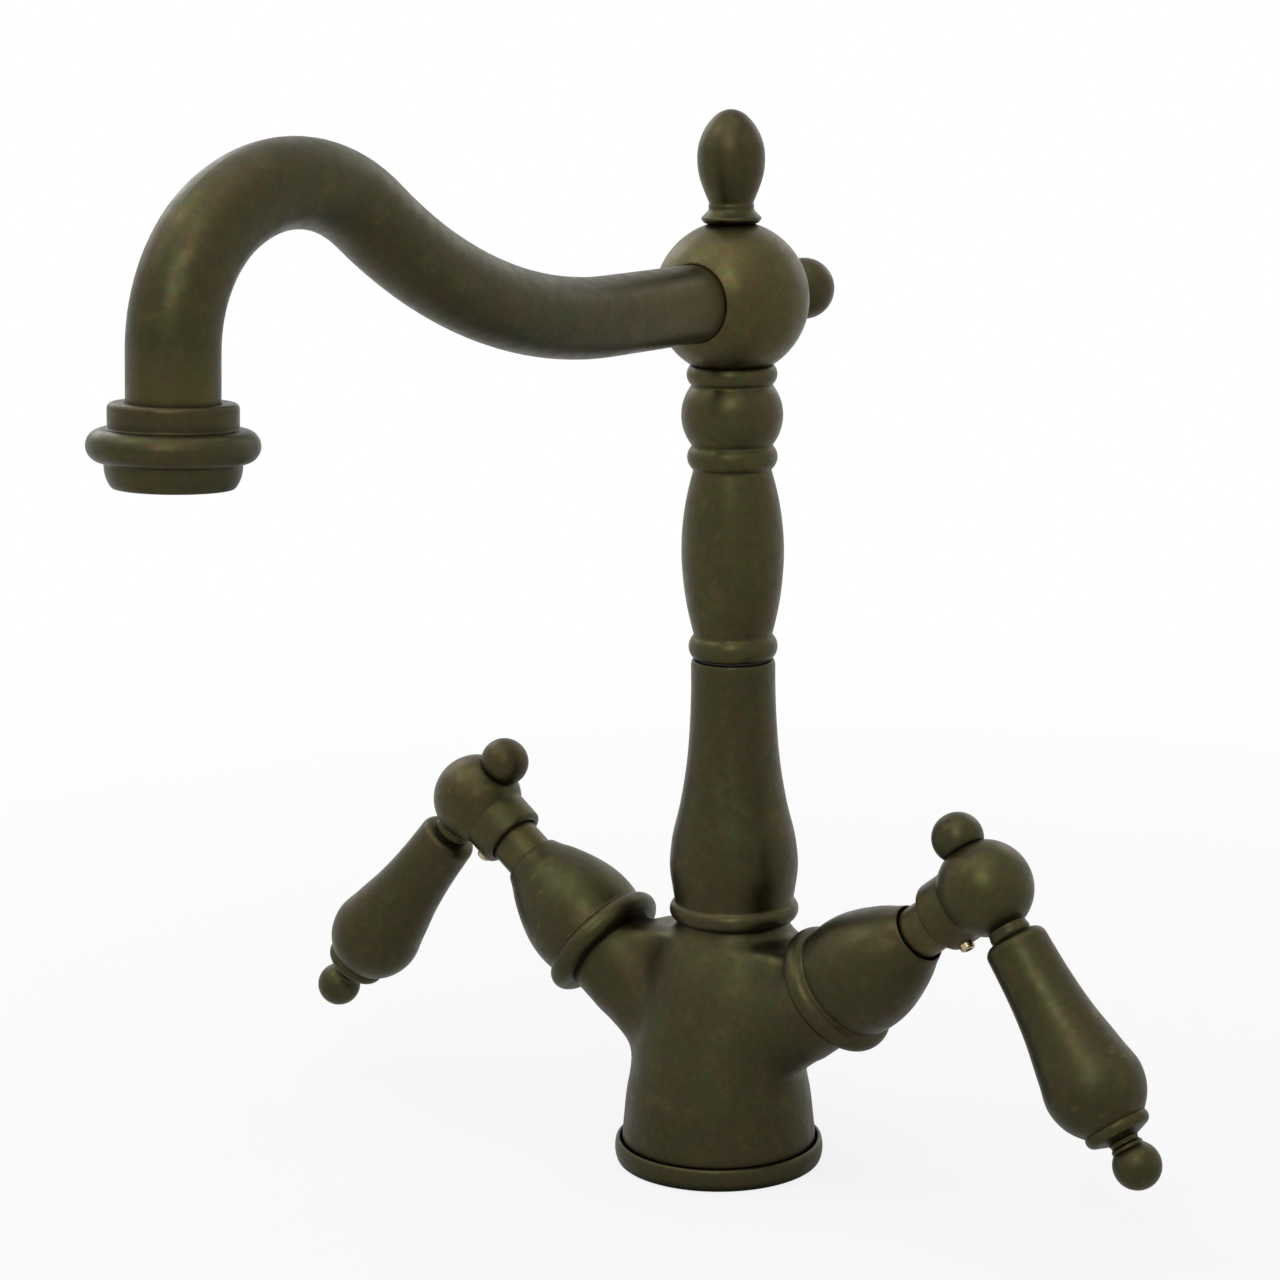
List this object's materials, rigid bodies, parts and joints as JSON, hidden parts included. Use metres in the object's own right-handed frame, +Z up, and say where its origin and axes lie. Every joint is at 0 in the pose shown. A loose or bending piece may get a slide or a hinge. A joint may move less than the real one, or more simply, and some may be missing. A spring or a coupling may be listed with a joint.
{
  "type": "two-handle vessel sink faucet",
  "caption": "Tall two-handle mixer tap with a turned column, an S-shaped turning spout and drooping levers.",
  "frame": {"origin": "mouth of the fixing stud's hole, in the middle of the base, on the deck plane", "axes": "+Z up along the column, -Y along the spout, hot handle at -X and cold handle at +X"},
  "size_m": [0.2794, 0.274, 0.2883],
  "materials": {
    "bronze": "oil-rubbed bronze, satin",
    "brass": "plain machined brass",
    "steel": "plain stainless steel",
    "ceramic": "lapped white ceramic",
    "plastic": "moulded white plastic",
    "acetal": "moulded black acetal",
    "rubber": "black moulded rubber"
  },
  "bodies": {
    "tap_body": {"base_flange": "bronze", "base_gasket": "rubber", "mixer_body": "bronze", "lower_column": "bronze", "swivel_washer": "acetal", "swivel_lock_screw": "brass", "hot_bonnet": "bronze", "hot_cartridge": "brass", "hot_seat_seal": "rubber", "hot_fixed_disc": "ceramic", "hot_gland_nut": "bronze", "cold_bonnet": "bronze", "cold_cartridge": "brass", "cold_seat_seal": "rubber", "cold_fixed_disc": "ceramic", "cold_gland_nut": "bronze"},
    "spout_assembly": {"upper_column": "bronze", "swivel_spigot": "brass", "spigot_o_rings": "rubber", "spout_ball": "bronze", "finial": "bronze", "rear_knob": "bronze", "spout_tube": "bronze", "spout_tube_seal": "rubber", "outlet_ring": "bronze", "aerator_housing": "brass", "aerator_insert": "plastic", "aerator_screen": "steel", "aerator_washer": "rubber"},
    "hot_handle": {"hot_stem": "brass", "hot_stem_o_rings": "rubber", "hot_stem_circlip": "steel", "hot_moving_disc": "ceramic", "hot_hub": "bronze", "hot_set_screw": "brass", "hot_lever_rod": "brass", "hot_knob": "bronze", "hot_lever_neck": "bronze", "hot_lever_grip": "bronze", "hot_lever_end_ring": "bronze", "hot_lever_tip": "bronze"},
    "cold_handle": {"cold_stem": "brass", "cold_stem_o_rings": "rubber", "cold_stem_circlip": "steel", "cold_moving_disc": "ceramic", "cold_hub": "bronze", "cold_set_screw": "brass", "cold_lever_rod": "brass", "cold_knob": "bronze", "cold_lever_neck": "bronze", "cold_lever_grip": "bronze", "cold_lever_end_ring": "bronze", "cold_lever_tip": "bronze"}
  },
  "joints": [
    {"name": "spout_swivel", "type": "hinge", "parent": "tap_body", "child": "spout_assembly", "pos_m": [0, 0.008, 0.14], "axis": [0, 0, 1], "continuous": true},
    {"name": "hot_turn", "type": "hinge", "parent": "tap_body", "child": "hot_handle", "pos_m": [-0.08432, 0, 0.09088], "axis": [-0.788, 0, 0.6157], "range_deg": [0, 90]},
    {"name": "cold_turn", "type": "hinge", "parent": "tap_body", "child": "cold_handle", "pos_m": [0.08432, 0, 0.09088], "axis": [-0.788, 0, -0.6157], "range_deg": [0, 90]}
  ]
}
